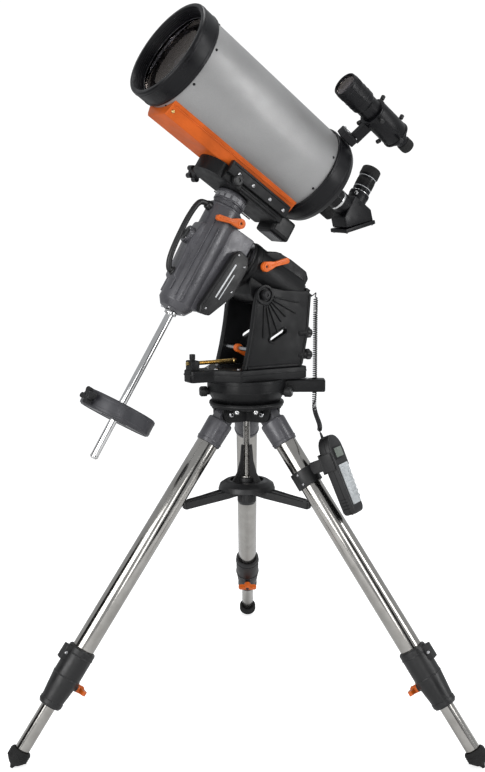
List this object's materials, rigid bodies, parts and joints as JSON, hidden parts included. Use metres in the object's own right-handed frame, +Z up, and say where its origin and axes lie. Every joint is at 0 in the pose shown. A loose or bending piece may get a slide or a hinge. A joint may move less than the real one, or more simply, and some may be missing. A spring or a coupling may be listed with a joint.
{
  "type": "catadioptric telescope on a tripod",
  "caption": "Short closed-tube telescope on a driven equatorial mount with a counterweight, hand control and a stainless steel tripod.",
  "frame": {"origin": "on the ground, under the middle of the object's box measured without the cord", "axes": "+Z up; +X to the right and +Y away from the viewer, with one tripod leg pointing along +Y"},
  "size_m": [1.0408, 0.9081, 1.6283],
  "materials": {
    "bearing_steel": "ground steel",
    "black_anodised": "black anodised",
    "black_casting": "painted satin black",
    "black_plastic": "moulded black",
    "brass": "turned",
    "chrome": "bright plated",
    "cord_jacket": "black jacket",
    "grey_casting": "painted dark grey, fine orange peel",
    "mirror_coat": "aluminised glass",
    "optic_glass": "coated optical glass",
    "orange_anodised": "orange anodised",
    "orange_paint": "orange paint",
    "pale_keys": "pale grey moulded keys",
    "rubber": "moulded black",
    "silver_tube": "silver-grey metallic paint",
    "stainless": "polished stainless tube",
    "weight_casting": "painted dark grey"
  },
  "bodies": {
    "hub": {"tripod_hub": "black_casting", "centre_rod": "stainless", "cord_lower": "cord_jacket"},
    "spreader": {"spreader_tray": "black_plastic"},
    "spreader_nut": {"spreader_knob": "black_plastic"},
    "azimuth_head": {"azimuth_base": "black_casting", "cheek_near": "black_casting", "cheek_far": "black_casting", "latitude_cross_bolt": "bearing_steel", "cord_upper": "cord_jacket"},
    "azimuth_knob_1": {"azimuth_knob_1": "black_plastic"},
    "azimuth_knob_2": {"azimuth_knob_2": "black_plastic"},
    "latitude_screw": {"latitude_screw": "brass"},
    "latitude_handle": {"latitude_handle": "orange_paint"},
    "ra_housing": {"ra_housing": "black_casting"},
    "ra_clutch": {"ra_clutch_lever": "orange_paint"},
    "ra_axis": {"ra_shaft": "bearing_steel", "dec_housing": "grey_casting", "dec_side_cover": "black_plastic", "carry_handle": "black_plastic"},
    "dec_clutch": {"dec_clutch_lever": "orange_paint"},
    "dec_axis": {"dec_shaft": "grey_casting", "counterweight_bar": "chrome", "saddle": "black_casting", "dovetail_bar": "orange_anodised", "optical_tube": "silver_tube", "front_ring": "black_anodised", "corrector_lens": "optic_glass", "rear_cell": "black_anodised", "baffle_tube": "black_anodised", "finder_bracket": "black_anodised", "finder_tube": "black_anodised"},
    "counterweight": {"counterweight": "weight_casting"},
    "counterweight_lock": {"counterweight_knob": "black_plastic"},
    "saddle_clamp": {"saddle_knob": "black_plastic"},
    "focuser": {"focuser_knob": "rubber"},
    "mirror": {"primary_mirror": "mirror_coat"},
    "diagonal": {"star_diagonal": "black_anodised"},
    "eyepiece": {"eyepiece": "black_anodised"},
    "keypad": {"keypad": "pale_keys"},
    "leg_1": {"leg_1_sleeve": "grey_casting", "leg_1_upper_tube": "stainless", "leg_1_collar": "black_plastic"},
    "leg_1_extension": {"leg_1_lower_tube": "stainless", "leg_1_foot": "rubber"},
    "leg_1_lock": {"leg_1_lock_knob": "orange_paint"},
    "leg_2": {"leg_2_sleeve": "grey_casting", "leg_2_upper_tube": "stainless", "leg_2_collar": "black_plastic", "handset_holder": "black_plastic", "handset": "black_plastic"},
    "leg_2_extension": {"leg_2_lower_tube": "stainless", "leg_2_foot": "rubber"},
    "leg_2_lock": {"leg_2_lock_knob": "orange_paint"},
    "leg_3": {"leg_3_sleeve": "grey_casting", "leg_3_upper_tube": "stainless", "leg_3_collar": "black_plastic"},
    "leg_3_extension": {"leg_3_lower_tube": "stainless", "leg_3_foot": "rubber"},
    "leg_3_lock": {"leg_3_lock_knob": "orange_paint"}
  },
  "joints": [
    {"name": "spreader_drop", "type": "slide", "parent": "hub", "child": "spreader", "axis": [0, 0, -1], "range_m": [0, 0.09]},
    {"name": "spreader_nut_turn", "type": "hinge", "parent": "spreader", "child": "spreader_nut", "pos_m": [0, -0.1432, 0.52], "axis": [0, 0, 1], "continuous": true},
    {"name": "leg_1_fold", "type": "hinge", "parent": "hub", "child": "leg_1", "pos_m": [-0.04815, -0.171, 0.735], "axis": [0.5, -0.866, 0], "range_deg": [0, 10]},
    {"name": "leg_1_extend", "type": "slide", "parent": "leg_1", "child": "leg_1_extension", "axis": [-0.5115, -0.2953, -0.807], "range_m": [-0.1, 0.27]},
    {"name": "leg_1_lock_turn", "type": "hinge", "parent": "leg_1", "child": "leg_1_lock", "pos_m": [-0.38068, -0.36299, 0.14857], "axis": [0.6988, 0.4035, -0.5906], "range_deg": [-90, 90]},
    {"name": "leg_2_fold", "type": "hinge", "parent": "hub", "child": "leg_2", "pos_m": [0.04815, -0.171, 0.735], "axis": [0.5, 0.866, 0], "range_deg": [0, 10]},
    {"name": "leg_2_extend", "type": "slide", "parent": "leg_2", "child": "leg_2_extension", "axis": [0.5115, -0.2953, -0.807], "range_m": [-0.1, 0.27]},
    {"name": "leg_2_lock_turn", "type": "hinge", "parent": "leg_2", "child": "leg_2_lock", "pos_m": [0.38068, -0.36299, 0.14857], "axis": [-0.6988, 0.4035, -0.5906], "range_deg": [-90, 90]},
    {"name": "leg_3_fold", "type": "hinge", "parent": "hub", "child": "leg_3", "pos_m": [0, -0.0876, 0.735], "axis": [-1, 0, 0], "range_deg": [0, 10]},
    {"name": "leg_3_extend", "type": "slide", "parent": "leg_3", "child": "leg_3_extension", "axis": [0, 0.5906, -0.807], "range_m": [-0.1, 0.27]},
    {"name": "leg_3_lock_turn", "type": "hinge", "parent": "leg_3", "child": "leg_3_lock", "pos_m": [0, 0.29637, 0.14857], "axis": [0, -0.807, -0.5906], "range_deg": [-90, 90]},
    {"name": "azimuth_turn", "type": "hinge", "parent": "hub", "child": "azimuth_head", "pos_m": [0, -0.1432, 0.79], "axis": [0, 0, 1], "range_deg": [-10, 10], "deforming": ["cord_lower"]},
    {"name": "azimuth_knob_1_turn", "type": "hinge", "parent": "azimuth_head", "child": "azimuth_knob_1", "pos_m": [0, -0.1432, 0.7855], "axis": [-0.9781, -0.2079, 0], "continuous": true},
    {"name": "azimuth_knob_2_turn", "type": "hinge", "parent": "azimuth_head", "child": "azimuth_knob_2", "pos_m": [0, -0.1432, 0.7855], "axis": [0.9455, -0.3256, 0], "continuous": true},
    {"name": "latitude_screw_turn", "type": "hinge", "parent": "azimuth_head", "child": "latitude_screw", "pos_m": [0, -0.1432, 0.857], "axis": [-0.866, -0.5, 0], "continuous": true},
    {"name": "latitude_handle_turn", "type": "hinge", "parent": "azimuth_head", "child": "latitude_handle", "pos_m": [-0.01905, -0.1542, 0.886], "axis": [0.5, -0.866, 0], "range_deg": [-6, 20]},
    {"name": "latitude_tilt", "type": "hinge", "parent": "azimuth_head", "child": "ra_housing", "pos_m": [0.00693, -0.1392, 1.011], "axis": [-0.5, 0.866, 0], "range_deg": [-15.5, 33.5], "deforming": ["cord_upper"]},
    {"name": "ra_clutch_turn", "type": "hinge", "parent": "ra_housing", "child": "ra_clutch", "pos_m": [0.04228, -0.18287, 1.07392], "axis": [0.5, -0.866, 0], "range_deg": [-30, 30]},
    {"name": "ra_turn", "type": "hinge", "parent": "ra_housing", "child": "ra_axis", "pos_m": [-0.08132, -0.19015, 1.1364], "axis": [-0.7368, -0.4254, 0.5255], "range_deg": [-90, 90]},
    {"name": "dec_clutch_turn", "type": "hinge", "parent": "ra_axis", "child": "dec_clutch", "pos_m": [-0.01523, -0.20257, 1.16953], "axis": [0.5, -0.866, 0], "range_deg": [-15, 30]},
    {"name": "dec_turn", "type": "hinge", "parent": "ra_axis", "child": "dec_axis", "pos_m": [-0.08132, -0.19015, 1.1364], "axis": [0.4551, 0.2627, 0.8508], "range_deg": [-170, 170]},
    {"name": "counterweight_slide", "type": "slide", "parent": "dec_axis", "child": "counterweight", "axis": [-0.4551, -0.2627, -0.8508], "range_m": [-0.2, 0.085]},
    {"name": "counterweight_knob_turn", "type": "hinge", "parent": "counterweight", "child": "counterweight_lock", "pos_m": [-0.28223, -0.30615, 0.76077], "axis": [-0.5214, -0.6959, 0.4938], "continuous": true},
    {"name": "saddle_knob_turn", "type": "hinge", "parent": "dec_axis", "child": "saddle_clamp", "pos_m": [-0.10538, -0.1454, 1.28531], "axis": [-0.5767, 0.815, 0.0568], "continuous": true},
    {"name": "focuser_turn", "type": "hinge", "parent": "dec_axis", "child": "focuser", "pos_m": [0.0408, -0.16705, 1.31785], "axis": [-0.6785, -0.5164, 0.5224], "range_deg": [-720, 720]},
    {"name": "mirror_focus", "type": "slide", "parent": "dec_axis", "child": "mirror", "axis": [-0.6785, -0.5164, 0.5224], "range_m": [-0.004, 0.004]},
    {"name": "diagonal_turn", "type": "hinge", "parent": "dec_axis", "child": "diagonal", "pos_m": [0.25959, 0.04633, 1.20425], "axis": [-0.6785, -0.5164, 0.5224], "range_deg": [-90, 90]},
    {"name": "eyepiece_slide", "type": "slide", "parent": "diagonal", "child": "eyepiece", "axis": [0.4551, 0.2627, 0.8508], "range_m": [0, 0.04]},
    {"name": "keypad_press", "type": "slide", "parent": "leg_2", "child": "keypad", "axis": [-0.796, 0.4596, -0.3939], "range_m": [0, 0.0008], "stiffness_N_per_m": 1500}
  ],
  "couplings": [
    {"joint": "leg_1_fold", "follows": "spreader_drop", "rad_per_m": 1.9},
    {"joint": "leg_2_fold", "follows": "spreader_drop", "rad_per_m": 1.9},
    {"joint": "leg_3_fold", "follows": "spreader_drop", "rad_per_m": 1.9}
  ]
}
